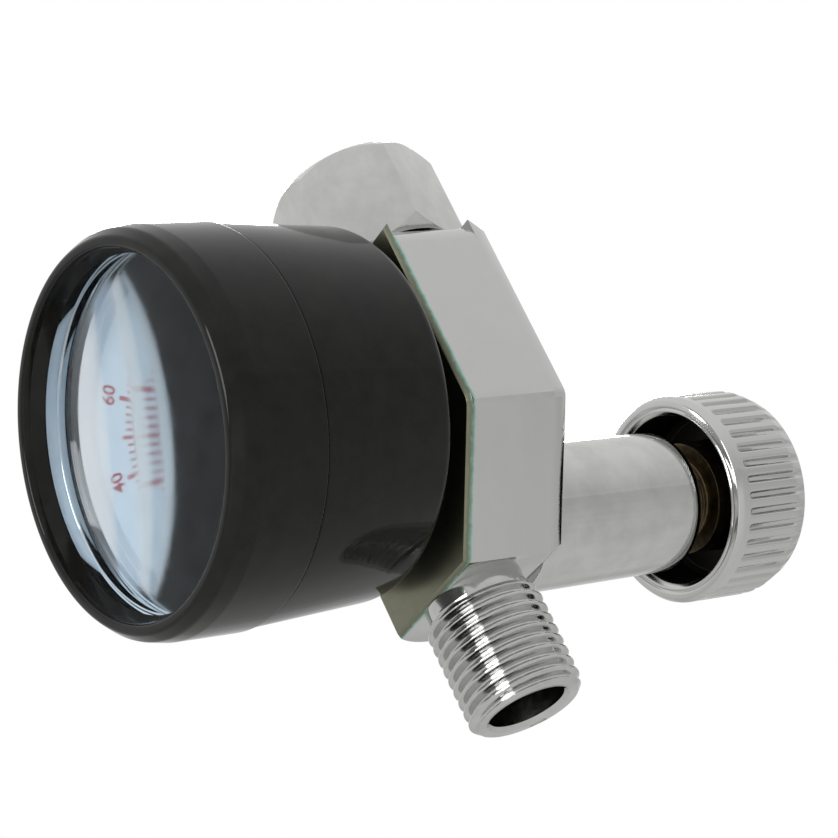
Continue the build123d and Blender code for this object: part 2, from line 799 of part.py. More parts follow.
def teeth_y(x, z, pitch_r, count, angles, y_from, y_to):
    """Slim straight-sided gear teeth round (x, z), at clockwise angles."""
    root_r = pitch_r - DEDENDUM
    tip_r = pitch_r + ADDENDUM
    half = TOOTH_FILL * 180 / count
    for angle in angles:
        plate_y(
            [
                about(x, z, root_r - 0.15, angle - half * 1.35),
                about(x, z, root_r, angle - half * 1.35),
                about(x, z, pitch_r, angle - half),
                about(x, z, tip_r, angle - half * 0.55),
                about(x, z, tip_r, angle + half * 0.55),
                about(x, z, pitch_r, angle + half),
                about(x, z, root_r, angle + half * 1.35),
                about(x, z, root_r - 0.15, angle + half * 1.35),
            ],
            y_from,
            y_to,
        )


with BuildPart() as pointer_arbor:
    pinion_pitch = MODULE * PINION_TEETH / 2
    turn_y(
        GAUGE_X,
        GAUGE_Z,
        [
            (0, DIAL_Y - 2.85),
            (0.55, DIAL_Y - 2.85),
            (0.59, DIAL_Y - 0.3),
            (ARBOR_R, DIAL_Y + 0.1),
            (ARBOR_R, PINION_FRONT),
            (pinion_pitch - DEDENDUM, PINION_FRONT),
            (pinion_pitch - DEDENDUM, PINION_BACK),
            (ARBOR_R, PINION_BACK),
            (ARBOR_R, BACK_PLATE[1] - 0.1),
            (0, BACK_PLATE[1] - 0.1),
        ],
    )
    pinion_step = 360 / PINION_TEETH
    pinion_angles = [180 + pinion_step * (k + 0.5) for k in range(PINION_TEETH)]
    teeth_y(GAUGE_X, GAUGE_Z, pinion_pitch, PINION_TEETH, pinion_angles, PINION_FRONT, PINION_BACK)
finish(pointer_arbor, "pointer_arbor")

# Sector gear, its arbor and the tail pin that the link hangs on
with BuildPart() as sector_gear:
    sector_pitch = MODULE * SECTOR_TEETH / 2
    tooth_step = 360 / SECTOR_TEETH
    rim_from, rim_to = -3 * tooth_step, 11 * tooth_step
    steps = 8
    rim = [
        about(GAUGE_X, SECTOR_Z, sector_pitch - 0.25, rim_from + (rim_to - rim_from) * k / steps)
        for k in range(steps + 1)
    ]
    inner = [
        about(GAUGE_X, SECTOR_Z, sector_pitch - 1.9, rim_from + 2 + (rim_to - rim_from - 4) * k / steps)
        for k in range(steps, -1, -1)
    ]
    plate_y(rim + inner, GEAR_FRONT, GEAR_BACK)
    for arm in (rim_from + 5, rim_to - 5):
        plate_y(
            [
                about(GAUGE_X, SECTOR_Z, 1.3, arm - 40),
                about(GAUGE_X, SECTOR_Z, sector_pitch - 1.6, arm - 4),
                about(GAUGE_X, SECTOR_Z, sector_pitch - 1.6, arm + 4),
                about(GAUGE_X, SECTOR_Z, 1.3, arm + 40),
            ],
            GEAR_FRONT,
            GEAR_BACK,
        )
    rod_y(GAUGE_X, SECTOR_Z, 1.5, GEAR_FRONT - 0.4, GEAR_BACK + 0.3)
    rod_y(GAUGE_X, SECTOR_Z, ARBOR_R, FRONT_PLATE[0] + 0.1, BACK_PLATE[1] - 0.1)
    sector_angles = [tooth_step * k for k in range(-2, 11)]
    teeth_y(GAUGE_X, SECTOR_Z, sector_pitch, SECTOR_TEETH, sector_angles, GEAR_FRONT, GEAR_BACK)
    tail_x, tail_z = about(GAUGE_X, SECTOR_Z, TAIL_PIN_R, TAIL_ANGLE)
    plate_y(
        [
            about(GAUGE_X, SECTOR_Z, 1.2, TAIL_ANGLE - 50),
            about(tail_x, tail_z, 0.8, TAIL_ANGLE - 90),
            about(tail_x, tail_z, 0.8, TAIL_ANGLE - 30),
            about(tail_x, tail_z, 0.8, TAIL_ANGLE + 30),
            about(tail_x, tail_z, 0.8, TAIL_ANGLE + 90),
            about(GAUGE_X, SECTOR_Z, 1.2, TAIL_ANGLE + 50),
        ],
        GEAR_FRONT,
        GEAR_BACK,
    )
    rod_y(tail_x, tail_z, ARBOR_R, GEAR_BACK - 0.1, LINK_BACK + 0.15)
finish(sector_gear, "sector_gear")

LINK_TRAVEL = 2 * TAIL_PIN_R * sin(radians(15))
with BuildPart() as link_rod:
    eye_x, eye_z = TIP_PIN_X, TIP_PIN_Z
    plate_y(
        [
            (tail_x, tail_z - 0.9),
            (eye_x - LINK_TRAVEL - 0.6, eye_z - 1.0),
            (eye_x + 0.9, eye_z - 1.0),
            (eye_x + 0.9, eye_z + 1.0),
            (eye_x - LINK_TRAVEL - 0.6, eye_z + 1.0),
            (tail_x, tail_z + 0.9),
            (tail_x - 0.9, tail_z),
        ],
        LINK_FRONT,
        LINK_BACK,
    )
    rod_y(tail_x, tail_z, PIVOT_HOLE_R, LINK_FRONT - 1, LINK_BACK + 1, Mode.SUBTRACT)
    box_between(
        (eye_x - LINK_TRAVEL - 0.5, LINK_FRONT - 1, eye_z - 0.55),
        (eye_x + 0.55, LINK_BACK + 1, eye_z + 0.65),
        Mode.SUBTRACT,
    )
finish(link_rod, "link_rod")

# Movement plates and posts, with running holes for the arbors
PLATE = [
    (GAUGE_X - PLATE_HALF_WIDTH, PLATE_BOTTOM),
    (GAUGE_X + PLATE_HALF_WIDTH, PLATE_BOTTOM),
    (GAUGE_X + PLATE_HALF_WIDTH, PLATE_TOP),
    (GAUGE_X - PLATE_HALF_WIDTH, PLATE_TOP),
]

for plate_name, (plate_front, plate_back) in (
    ("movement_front_plate", FRONT_PLATE),
    ("movement_back_plate", BACK_PLATE),
):
    with BuildPart() as plate:
        plate_y(PLATE, plate_front, plate_back)
        for pivot_z in (GAUGE_Z, SECTOR_Z):
            rod_y(GAUGE_X, pivot_z, PIVOT_HOLE_R, plate_front - 1, plate_back + 1, Mode.SUBTRACT)
        if plate_name == "movement_front_plate":
            for side in (-1, 1):
                x = GAUGE_X + side * DIAL_SCREW_X
                rod_y(x, DIAL_SCREW_Z, 0.7, plate_front - 1, plate_back + 1, Mode.SUBTRACT)
    finish(plate, plate_name)

with BuildPart() as movement_posts:
    for side in (-1, 1):
        for post_z in (UPPER_POST_Z, LOWER_POST_Z):
            rod_y(GAUGE_X + side * POST_X, post_z, 0.8, FRONT_PLATE[1], BACK_PLATE[0])
finish(movement_posts, "movement_posts")

with BuildPart() as hairspring:
    strip = 0.12
    with BuildSketch(front_plane(FRONT_PLATE[1] + 0.2)) as spiral:
        for k in range(7):
            shift = 0.22 if k % 2 else 0.0
            radius = 1.1 + 0.22 * k
            start = 0 if k % 2 == 0 else 180
            with Locations((-GAUGE_X + shift, GAUGE_Z)):
                with BuildSketch(mode=Mode.PRIVATE) as half_ring:
                    with BuildLine():
                        CenterArc((0, 0), radius, start, 180)
                        CenterArc((0, 0), radius + strip, start, 180)
                        first = radians(start)
                        Line(
                            (radius * cos(first), radius * sin(first)),
                            ((radius + strip) * cos(first), (radius + strip) * sin(first)),
                        )
                        Line(
                            (-radius * cos(first), -radius * sin(first)),
                            (-(radius + strip) * cos(first), -(radius + strip) * sin(first)),
                        )
                    make_face()
                add(half_ring.sketch)
    extrude(amount=0.5)
finish(hairspring, "hairspring")

# Socket block, its washer, the Bourdon tube and the tube's end piece
with BuildPart() as gauge_socket:
    box_between(
        (GAUGE_X - 5.0, SOCKET_FRONT, GAUGE_Z - 6.5), (GAUGE_X + 5.0, SOCKET_BACK, GAUGE_Z + 4.6)
    )
    box_between((GAUGE_X - 9.0, SOCKET_EARS, GAUGE_Z - 3.6), (GAUGE_X + 9.0, SOCKET_BACK, GAUGE_Z + 3.6))
    plate_y(
        [
            (GAUGE_X - 5.0, GAUGE_Z - 1.5),
            (GAUGE_X - 1.0, GAUGE_Z - 6.5),
            dial_point(TUBE_R + 1.6, TUBE_ROOT - 9),
            dial_point(TUBE_R + 1.6, TUBE_ROOT + 7),
        ],
        TUBE_FRONT - 0.6,
        TUBE_BACK + 0.6,
    )
    plate_y(
        [
            dial_point(TUBE_R - 0.85, TUBE_ROOT - 4),
            dial_point(TUBE_R + 0.85, TUBE_ROOT - 4),
            dial_point(TUBE_R + 0.85, TUBE_ROOT + 9),
            dial_point(TUBE_R - 0.85, TUBE_ROOT + 9),
        ],
        TUBE_FRONT,
        TUBE_BACK,
        Mode.SUBTRACT,
    )
    turn_y(
        GAUGE_X,
        GAUGE_Z,
        [
            (0, SOCKET_BACK - 0.5),
            (5.5, SOCKET_BACK - 0.5),
            (5.5, SOCKET_SHOULDER),
            (SOCKET_THREAD_R, SOCKET_SHOULDER),
            (SOCKET_THREAD_R, SOCKET_TIP - 0.6),
            (SOCKET_THREAD_R - 0.6, SOCKET_TIP),
            (0, SOCKET_TIP),
        ],
    )
    rod_y(GAUGE_X, GAUGE_Z, 1.0, TUBE_BACK - 1.0, SOCKET_TIP + 1, Mode.SUBTRACT)
    for side in (-1, 1):
        rod_y(GAUGE_X + side * CASE_SCREW_X, GAUGE_Z, 0.9, SOCKET_EARS - 1, SOCKET_BACK + 1, Mode.SUBTRACT)
finish(gauge_socket, "gauge_socket")

with BuildPart() as socket_washer:
    turn_y(
        GAUGE_X,
        GAUGE_Z,
        [
            (SOCKET_THREAD_R + 0.02, SOCKET_SHOULDER),
            (6.9, SOCKET_SHOULDER),
            (6.9, BODY_FRONT),
            (SOCKET_THREAD_R + 0.02, BODY_FRONT),
        ],
    )
finish(socket_washer, "socket_washer")

with BuildPart() as case_screws:
    for side in (-1, 1):
        x = GAUGE_X + side * CASE_SCREW_X
        turn_y(
            x,
            GAUGE_Z,
            [
                (0, SOCKET_EARS),
                (0.85, SOCKET_EARS),
                (0.85, CASE_BACK),
                (1.7, CASE_BACK),
                (1.4, CASE_BACK + 0.8),
                (0, CASE_BACK + 0.8),
            ],
        )
        box_between(
            (x - 1.8, CASE_BACK + 0.4, GAUGE_Z - 0.2), (x + 1.8, CASE_BACK + 2, GAUGE_Z + 0.2), Mode.SUBTRACT
        )
finish(case_screws, "case_screws")

with BuildPart() as bourdon_tube:
    sweep_from = TUBE_ROOT - 3.5
    sweep_to = TUBE_TIP + 360
    with BuildSketch(Plane((GAUGE_X, (TUBE_FRONT + TUBE_BACK) / 2, GAUGE_Z))) as tube_section:
        with Locations((TUBE_R, 0)):
            RectangleRounded(1.4, TUBE_BACK - TUBE_FRONT - 0.1, 0.65)
    turn_from = sweep_from - 90
    revolve(
        tube_section.sketch.rotate(Axis((GAUGE_X, 0, GAUGE_Z), (0, 1, 0)), turn_from),
        axis=Axis((GAUGE_X, 0, GAUGE_Z), (0, 1, 0)),
        revolution_arc=sweep_to - sweep_from,
    )
finish(bourdon_tube, "bourdon_tube")

with BuildPart() as tube_end:
    tip = [
        dial_point(TUBE_R - 1.3, TUBE_TIP - 7),
        dial_point(TUBE_R + 1.3, TUBE_TIP - 7),
        dial_point(TUBE_R + 1.3, TUBE_TIP + 9),
        dial_point(TUBE_R - 1.3, TUBE_TIP + 9),
    ]
    plate_y(tip, TUBE_FRONT - 0.5, TUBE_BACK + 0.5)
    plate_y(
        [
            dial_point(TUBE_R - 0.85, TUBE_TIP - 9),
            dial_point(TUBE_R + 0.85, TUBE_TIP - 9),
            dial_point(TUBE_R + 0.85, TUBE_TIP + 0.2),
            dial_point(TUBE_R - 0.85, TUBE_TIP + 0.2),
        ],
        TUBE_FRONT,
        TUBE_BACK,
        Mode.SUBTRACT,
    )
    rod_y(TIP_PIN_X, TIP_PIN_Z, 0.8, LINK_BACK + 0.2, TUBE_FRONT + 0.2)
    rod_y(TIP_PIN_X, TIP_PIN_Z, ARBOR_R, LINK_FRONT - 0.4, TUBE_FRONT)
finish(tube_end, "tube_end")
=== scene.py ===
import json
from math import cos, pi, radians, sin, tan

import bmesh
import bpy
from mathutils import Matrix, Vector

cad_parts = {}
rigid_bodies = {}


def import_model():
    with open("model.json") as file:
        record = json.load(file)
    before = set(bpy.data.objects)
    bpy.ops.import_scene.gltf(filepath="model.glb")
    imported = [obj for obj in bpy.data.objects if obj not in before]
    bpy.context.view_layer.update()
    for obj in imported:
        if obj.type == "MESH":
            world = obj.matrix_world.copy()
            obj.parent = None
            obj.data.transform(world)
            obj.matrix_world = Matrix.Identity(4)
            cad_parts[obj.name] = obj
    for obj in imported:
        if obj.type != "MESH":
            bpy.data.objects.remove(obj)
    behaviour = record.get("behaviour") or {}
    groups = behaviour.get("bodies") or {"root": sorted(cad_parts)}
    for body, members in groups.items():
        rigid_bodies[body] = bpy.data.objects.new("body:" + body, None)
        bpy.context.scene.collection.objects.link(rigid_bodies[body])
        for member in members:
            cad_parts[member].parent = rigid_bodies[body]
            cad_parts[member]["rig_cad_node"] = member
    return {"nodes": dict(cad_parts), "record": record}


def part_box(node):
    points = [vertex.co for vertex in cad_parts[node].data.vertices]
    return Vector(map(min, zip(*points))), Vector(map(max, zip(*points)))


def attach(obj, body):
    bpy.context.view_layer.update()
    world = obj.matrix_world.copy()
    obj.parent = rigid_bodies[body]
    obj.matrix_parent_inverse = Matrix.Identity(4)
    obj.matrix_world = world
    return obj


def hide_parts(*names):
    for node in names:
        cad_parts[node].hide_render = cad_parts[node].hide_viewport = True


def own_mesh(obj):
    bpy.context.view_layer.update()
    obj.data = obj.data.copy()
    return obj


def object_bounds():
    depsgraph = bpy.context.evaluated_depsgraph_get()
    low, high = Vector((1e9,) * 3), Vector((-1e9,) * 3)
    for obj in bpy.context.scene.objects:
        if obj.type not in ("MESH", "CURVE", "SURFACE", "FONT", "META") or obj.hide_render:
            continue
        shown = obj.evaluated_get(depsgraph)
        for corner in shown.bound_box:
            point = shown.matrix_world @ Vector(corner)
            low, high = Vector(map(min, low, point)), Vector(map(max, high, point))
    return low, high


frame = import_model()
cad_low, cad_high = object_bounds()

MM = 0.001
NODES = frame["nodes"]
BODY_OF = {node: body for body, nodes in frame["record"]["behaviour"]["bodies"].items() for node in nodes}


# ---------------------------------------------------------------- places, in millimetres, from the frame


def low(node):
    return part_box(node)[0] / MM


def high(node):
    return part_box(node)[1] / MM


def middle(node):
    return (low(node) + high(node)) / 2


GAUGE = middle("gauge_lens")
KNOB = middle("bonnet")
INLET = middle("inlet_nipple")
DIAL_Y = low("dial_plate").y

# The gauge's radii, stepping inward.
GAUGE_R = 21.8
BEZEL_BORE_R = 20.5
CASE_BORE_R = 20.45
RING_R = 20.4
DIAL_BORE_R = 19.95
RING_WALL_R = 19.9
RING_BORE_R = 19.3
LENS_R = 19.2
CASE_INNER_R = 18.9
WINDOW_R = 18.8
SOCKET_HOLE_R = 5.6
CASE_WALL = 2.2


# ---------------------------------------------------------------- meshes


def add_piece(name, verts, faces, smooth=38):
    """A mesh object from millimetre points, with edges sharper than smooth degrees left sharp."""
    mesh = bpy.data.meshes.new(name)
    mesh.from_pydata([Vector(v) * MM for v in verts], [], faces)
    shape = bmesh.new()
    shape.from_mesh(mesh)
    bmesh.ops.recalc_face_normals(shape, faces=shape.faces)
    shape.to_mesh(mesh)
    shape.free()
    return add_object(name, mesh, smooth)


def add_object(name, mesh, smooth=38):
    mesh.shade_smooth()
    mesh.set_sharp_from_angle(angle=radians(smooth))
    piece = bpy.data.objects.new(name, mesh)
    bpy.context.scene.collection.objects.link(piece)
    return piece


def section(corners, steps=5):
    """Points of a section whose corners, given as (radius, place, rounding), are rounded off."""
    points = []
    for i, (radius, place, rounding) in enumerate(corners):
        here = Vector((radius, place))
        if rounding <= 0:
            points.append(here)
            continue
        to_last = Vector(corners[i - 1][:2]) - here
        to_next = Vector(corners[(i + 1) % len(corners)][:2]) - here
        cut = rounding / tan(to_last.angle(to_next) / 2)
        cut = min(cut, 0.48 * to_last.length, 0.48 * to_next.length)
        start = here + to_last.normalized() * cut
        end = here + to_next.normalized() * cut
        for k in range(steps + 1):
            t = k / steps
            points.append(start * (1 - t) ** 2 + here * (2 * t * (1 - t)) + end * t**2)
    return points


def turned(name, points, origin, axis="Y", segments=192, shape=None, smooth=38):
    """Turns (radius, place) points about an axis through origin. Place is along that axis in the frame."""
    verts = []
    rings = []
    for radius, place in points:
        on_axis = radius < 1e-6
        ring = []
        for k in range(1 if on_axis else segments):
            angle = 2 * pi * k / segments
            r = radius if shape is None or on_axis else shape(radius, place, angle)
            across, up = r * cos(angle), r * sin(angle)
            ring.append(len(verts))
            if axis == "Y":
                verts.append((origin.x + across, place, origin.z + up))
            else:
                verts.append((origin.x + across, origin.y + up, place))
        rings.append(ring)
    faces = []
    closed = not (len(rings[0]) == 1 and len(rings[-1]) == 1)
    for i in range(len(rings) if closed else len(rings) - 1):
        a, b = rings[i], rings[(i + 1) % len(rings)]
        for k in range(segments):
            n = (k + 1) % segments
            if len(a) == 1 and len(b) == 1:
                continue
            if len(a) == 1:
                faces.append((a[0], b[k], b[n]))
            elif len(b) == 1:
                faces.append((a[k], b[0], a[n]))
            else:
                faces.append((a[k], b[k], b[n], a[n]))
    return add_piece(name, verts, faces, smooth)


def coil(name, origin, mean_r, wire_r, y_from, y_to, turns, sides=12, per_turn=48):
    """A compression spring along Y with a closed turn at each end."""
    verts = []
    steps = int((turns + 2) * per_turn)
    start, end = y_from + wire_r, y_to - wire_r
    pitch_share = 2 * wire_r * 1.04
    for i in range(steps + 1):
        turn = i / per_turn
        if turn <= 1:
            y = start + pitch_share * turn * 0.5
        elif turn >= turns + 1:
            y = end - pitch_share * (turns + 2 - turn) * 0.5
        else:
            y = start + pitch_share * 0.5 + (end - start - pitch_share) * (turn - 1) / turns
        angle = 2 * pi * turn
        out = Vector((cos(angle), 0, sin(angle)))
        centre = Vector((origin.x, y, origin.z)) + out * mean_r
        for s in range(sides):
            a = 2 * pi * s / sides
            verts.append(centre + out * (wire_r * cos(a)) + Vector((0, wire_r * sin(a), 0)))
    faces = []
    for i in range(steps):
        for s in range(sides):
            n = (s + 1) % sides
            faces.append((i * sides + s, i * sides + n, (i + 1) * sides + n, (i + 1) * sides + s))
    faces.append(tuple(range(sides)))
    faces.append(tuple(reversed(range(steps * sides, (steps + 1) * sides))))
    return add_piece(name, verts, faces, 50)


def softened(node, name, width, segments=3, angle=28):
    """A copy of a CAD node whose sharp edges are rounded off by width millimetres."""
    shape = bmesh.new()
    shape.from_mesh(NODES[node].data)
    bmesh.ops.remove_doubles(shape, verts=shape.verts, dist=0.002 * MM)
    bmesh.ops.dissolve_limit(
        shape, angle_limit=radians(0.6), verts=shape.verts, edges=shape.edges, use_dissolve_boundaries=False
    )
    sharp = [e for e in shape.edges if len(e.link_faces) == 2 and e.calc_face_angle() > radians(angle)]
    bmesh.ops.bevel(
        shape,
        geom=sharp,
        offset=width * MM,
        offset_type="OFFSET",
        segments=segments,
        profile=0.5,
        affect="EDGES",
        clamp_overlap=True,
    )
    bmesh.ops.triangulate(shape, faces=[f for f in shape.faces if len(f.verts) > 4])
    mesh = bpy.data.meshes.new(name)
    shape.to_mesh(mesh)
    shape.free()
    return add_object(name, mesh)


# ---------------------------------------------------------------- materials


class Recipe:
    """A node material being put together. Sizes of patterns are in millimetres."""

    def __init__(self, name):
        self.material = bpy.data.materials.new(name)
        self.material.use_nodes = True
        self.tree = self.material.node_tree
        self.shader = self.tree.nodes["Principled BSDF"]
        self.place = self.tree.nodes.new("ShaderNodeTexCoord").outputs["Object"]

    def node(self, kind, inputs=(), **settings):
        made = self.tree.nodes.new(kind)
        for key, value in settings.items():
            setattr(made, key, value)
        for socket, value in dict(inputs).items():
            if isinstance(value, bpy.types.NodeSocket):
                self.tree.links.new(value, made.inputs[socket])
            else:
                made.inputs[socket].default_value = value
        return made

    def set(self, **values):
        for key, value in values.items():
            socket = self.shader.inputs[key.replace("_", " ")]
            if isinstance(value, bpy.types.NodeSocket):
                self.tree.links.new(value, socket)
            else:
                socket.default_value = value

    def stretched(self, x=1.0, y=1.0, z=1.0):
        return self.node("ShaderNodeMapping", {"Vector": self.place, "Scale": (x, y, z)}).outputs["Vector"]

    def noise(self, size, detail=3.0, roughness=0.5, vector=None, distortion=0.0):
        made = self.node(
            "ShaderNodeTexNoise",
            {
                "Vector": vector or self.place,
                "Scale": 1 / (size * MM),
                "Detail": detail,
                "Roughness": roughness,
                "Distortion": distortion,
            },
        )
        return made.outputs["Fac"]

    def between(self, factor, lowest, highest, start=0.35, end=0.65):
        made = self.node(
            "ShaderNodeMapRange",
            {"Value": factor, "From Min": start, "From Max": end, "To Min": lowest, "To Max": highest},
            clamp=True,
        )
        return made.outputs["Result"]

    def colours(self, factor, *stops):
        made = self.node("ShaderNodeValToRGB", {"Fac": factor})
        elements = made.color_ramp.elements
        while len(elements) < len(stops):
            elements.new(0.5)
        for element, (position, colour) in zip(elements, stops):
            element.position = position
            element.color = (*colour, 1)
        return made.outputs["Color"]

    def bump(self, height, depth, strength=1.0, under=None):
        made = self.node("ShaderNodeBump", {"Height": height, "Distance": depth * MM, "Strength": strength})
        if under is not None:
            self.tree.links.new(under, made.inputs["Normal"])
        return made.outputs["Normal"]

    def reach(self, origin, along=0.0):
        """Distance from an axis along Y through origin, with a share of the place along it."""
        shift = (-origin.x * MM, 0, -origin.z * MM)
        moved = self.node("ShaderNodeMapping", {"Vector": self.place, "Location": shift})
        sides = {0: moved.outputs["Vector"], 1: (1, along, 1)}
        flat = self.node("ShaderNodeVectorMath", sides, operation="MULTIPLY")
        length = self.node("ShaderNodeVectorMath", {0: flat.outputs["Vector"]}, operation="LENGTH")
        return length.outputs["Value"]

    def rings(self, size, origin):
        """Fine turning marks round an axis along Y through origin."""
        line = self.node("ShaderNodeCombineXYZ", {"X": self.reach(origin, 0.35)})
        return self.noise(size, 4.0, 0.6, line.outputs["Vector"])


PLATE = (0.56, 0.56, 0.55)


def chrome(name, wave, grain, rough, wave_size=5.0):
    """Bright plate: a faint ripple from polishing, fine grain, and smudges that dull it in patches."""
    recipe = Recipe(name)
    patches = recipe.noise(3.2, 5.0, 0.6)
    pale = tuple(c * 1.05 for c in PLATE)
    dim = tuple(c * 0.93 for c in PLATE)
    recipe.set(
        Base_Color=recipe.colours(patches, (0.35, dim), (0.65, pale)),
        Metallic=1.0,
        Roughness=recipe.between(recipe.noise(1.7, 6.0, 0.65), rough[0], rough[1]),
    )
    ripple = recipe.bump(recipe.noise(wave_size, 1.0, 0.4), wave * 4)
    recipe.set(Normal=recipe.bump(recipe.noise(0.22, 2.0, 0.6), grain, 1.0, ripple))
    return recipe.material


def turned_metal(name, tone, dim, origin, rough=(0.16, 0.3), size=0.12):
    """Machined metal with turning marks and patchy tarnish."""
    recipe = Recipe(name)
    recipe.set(
        Base_Color=recipe.colours(recipe.noise(1.3, 6.0, 0.6), (0.3, dim), (0.62, tone)),
        Metallic=1.0,
        Roughness=recipe.between(recipe.noise(0.8, 5.0, 0.6), rough[0], rough[1]),
        Normal=recipe.bump(recipe.rings(size, origin), 0.004),
    )
    return recipe.material


def drawn_metal(name, tone, dim, rough=(0.2, 0.35), grain=0.004):
    """Sheet, wire or pressed metal with a fine grain."""
    recipe = Recipe(name)
    recipe.set(
        Base_Color=recipe.colours(recipe.noise(0.9, 6.0, 0.65), (0.3, dim), (0.62, tone)),
        Metallic=1.0,
        Roughness=recipe.between(recipe.noise(0.6, 5.0, 0.6), rough[0], rough[1]),
        Normal=recipe.bump(recipe.noise(0.12, 3.0, 0.6, recipe.stretched(1, 0.15, 1)), grain),
    )
    return recipe.material


def black_enamel():
    """Stoved gloss enamel: deep black, a little orange peel, faint wipe marks."""
    recipe = Recipe("black_enamel")
    recipe.set(
        Base_Color=recipe.colours(
            recipe.noise(2.6, 4.0, 0.6), (0.35, (0.006, 0.006, 0.0055)), (0.7, (0.011, 0.0105, 0.0095))
        ),
        Roughness=recipe.between(recipe.noise(1.4, 6.0, 0.65), 0.05, 0.12),
        IOR=1.3,
        Normal=recipe.bump(recipe.noise(0.9, 2.0, 0.5), 0.0035),
    )
    return recipe.material


def white_enamel():
    """The dial's printed white: satin, faintly blue, a very fine tooth."""
    recipe = Recipe("white_enamel")
    recipe.set(
        Base_Color=recipe.colours(
            recipe.noise(4.0, 4.0, 0.6), (0.3, (0.77, 0.845, 0.90)), (0.7, (0.83, 0.89, 0.935))
        ),
        Roughness=recipe.between(recipe.noise(0.5, 4.0, 0.6), 0.38, 0.5),
        Normal=recipe.bump(recipe.noise(0.09, 2.0, 0.6), 0.002),
    )
    return recipe.material


def white_plastic():
    recipe = Recipe("white_plastic")
    recipe.set(
        Base_Color=recipe.colours(
            recipe.noise(3.0, 3.0, 0.6), (0.3, (0.70, 0.79, 0.87)), (0.7, (0.78, 0.86, 0.92))
        ),
        Roughness=recipe.between(recipe.noise(0.7, 4.0, 0.6), 0.3, 0.42),
        Subsurface_Weight=0.05,
        Subsurface_Radius=(0.001, 0.001, 0.001),
        Normal=recipe.bump(recipe.noise(0.15, 2.0, 0.6), 0.002),
    )
    return recipe.material


def ink(name, dark, pale):
    """Printed ink, a little uneven where the screen laid it."""
    recipe = Recipe(name)
    recipe.set(
        Base_Color=recipe.colours(recipe.noise(0.12, 4.0, 0.7), (0.3, dark), (0.75, pale)),
        Roughness=recipe.between(recipe.noise(0.2, 3.0, 0.6), 0.4, 0.55),
        Normal=recipe.bump(recipe.noise(0.05, 2.0, 0.6), 0.002),
    )
    return recipe.material


def pointer_paint():
    recipe = Recipe("pointer_paint")
    recipe.set(
        Base_Color=recipe.colours(
            recipe.noise(0.5, 4.0, 0.6), (0.3, (0.022, 0.023, 0.024)), (0.75, (0.05, 0.05, 0.052))
        ),
        Roughness=recipe.between(recipe.noise(0.3, 4.0, 0.6), 0.32, 0.48),
        Normal=recipe.bump(recipe.noise(0.08, 3.0, 0.6), 0.003),
    )
    return recipe.material


def rubber():
    recipe = Recipe("seal_rubber")
    recipe.set(
        Base_Color=recipe.colours(
            recipe.noise(0.7, 5.0, 0.6), (0.3, (0.010, 0.010, 0.010)), (0.75, (0.028, 0.027, 0.026))
        ),
        Roughness=recipe.between(recipe.noise(0.4, 4.0, 0.6), 0.5, 0.72),
        Normal=recipe.bump(recipe.noise(0.08, 4.0, 0.6), 0.006),
    )
    return recipe.material


def clear_lens():
    """Clear acrylic, seen straight through, with a soft sheen that wipe marks break up."""
    recipe = Recipe("clear_lens")
    tint = recipe.colours(recipe.noise(3.0, 4.0, 0.6), (0.3, (0.95, 0.97, 0.98)), (0.7, (0.98, 0.99, 1.0)))
    clear = recipe.node("ShaderNodeBsdfTransparent", {"Color": tint})
    haze = recipe.between(recipe.noise(2.5, 6.0, 0.7), 0.02, 0.09)
    sheen = recipe.node("ShaderNodeBsdfGlossy", {"Color": (0.9, 0.93, 0.95, 1), "Roughness": haze})
    edge = recipe.node("ShaderNodeFresnel", {"IOR": 1.3})
    mix = recipe.node("ShaderNodeMixShader", {"Fac": edge.outputs["Fac"]})
    recipe.tree.links.new(clear.outputs["BSDF"], mix.inputs[1])
    recipe.tree.links.new(sheen.outputs["BSDF"], mix.inputs[2])
    output = recipe.tree.nodes["Material Output"]
    recipe.tree.links.new(mix.outputs["Shader"], output.inputs["Surface"])
    recipe.tree.nodes.remove(recipe.shader)
    return recipe.material


BRASS = (0.78, 0.56, 0.24)
BRASS_DIM = (0.55, 0.38, 0.16)
STEEL = (0.62, 0.62, 0.61)
STEEL_DIM = (0.42, 0.42, 0.41)

FINISH = {
    "chromed_zinc": chrome("chrome_cast", wave=0.02, grain=0.003, rough=(0.05, 0.13)),
    "chromed_brass": chrome("chrome_turned", wave=0.008, grain=0.002, rough=(0.04, 0.1)),
    "brass": turned_metal("brass", BRASS, BRASS_DIM, KNOB),
    "spring_steel": drawn_metal("zinc_plated_steel", STEEL, STEEL_DIM),
    "seal_rubber": rubber(),
    "black_enamel": black_enamel(),
    "white_enamel": white_enamel(),
    "white_plastic": white_plastic(),
    "pointer_paint": pointer_paint(),
    "clear_lens": clear_lens(),
}
SLOT_OF = {part["node"]: part["material_slot"] for part in frame["record"]["subparts"]}


def dress(piece, material):
    piece.data.materials.clear()
    piece.data.materials.append(material)


def stand_for(piece, node, material=None):
    """Puts a made piece in a CAD node's place, on its body and in its finish."""
    slot = SLOT_OF[node]
    dress(piece, material or FINISH[slot])
    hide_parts(node)
    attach(piece, BODY_OF[node])
    return piece


def goes_with(piece, node, material):
    """A detail that rides with a CAD node."""
    dress(piece, material)
    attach(piece, BODY_OF[node])
    return piece


# ---------------------------------------------------------------- threads

PITCH = 1.337
CREST_R = 6.58
THREAD_DEPTH = 0.856


def ridge(turns):
    """Height from 0 in the root to 1 on the crest of a rounded 55 degree thread."""
    share = abs((turns % 1.0) * 2 - 1)
    height = min(1.0, max(0.0, (share - 0.16) / 0.68))
    return height * height * (3 - 2 * height) * 0.35 + height * 0.65


def eased(value, start, end):
    t = min(1.0, max(0.0, (value - start) / (end - start)))
    return t * t * (3 - 2 * t)


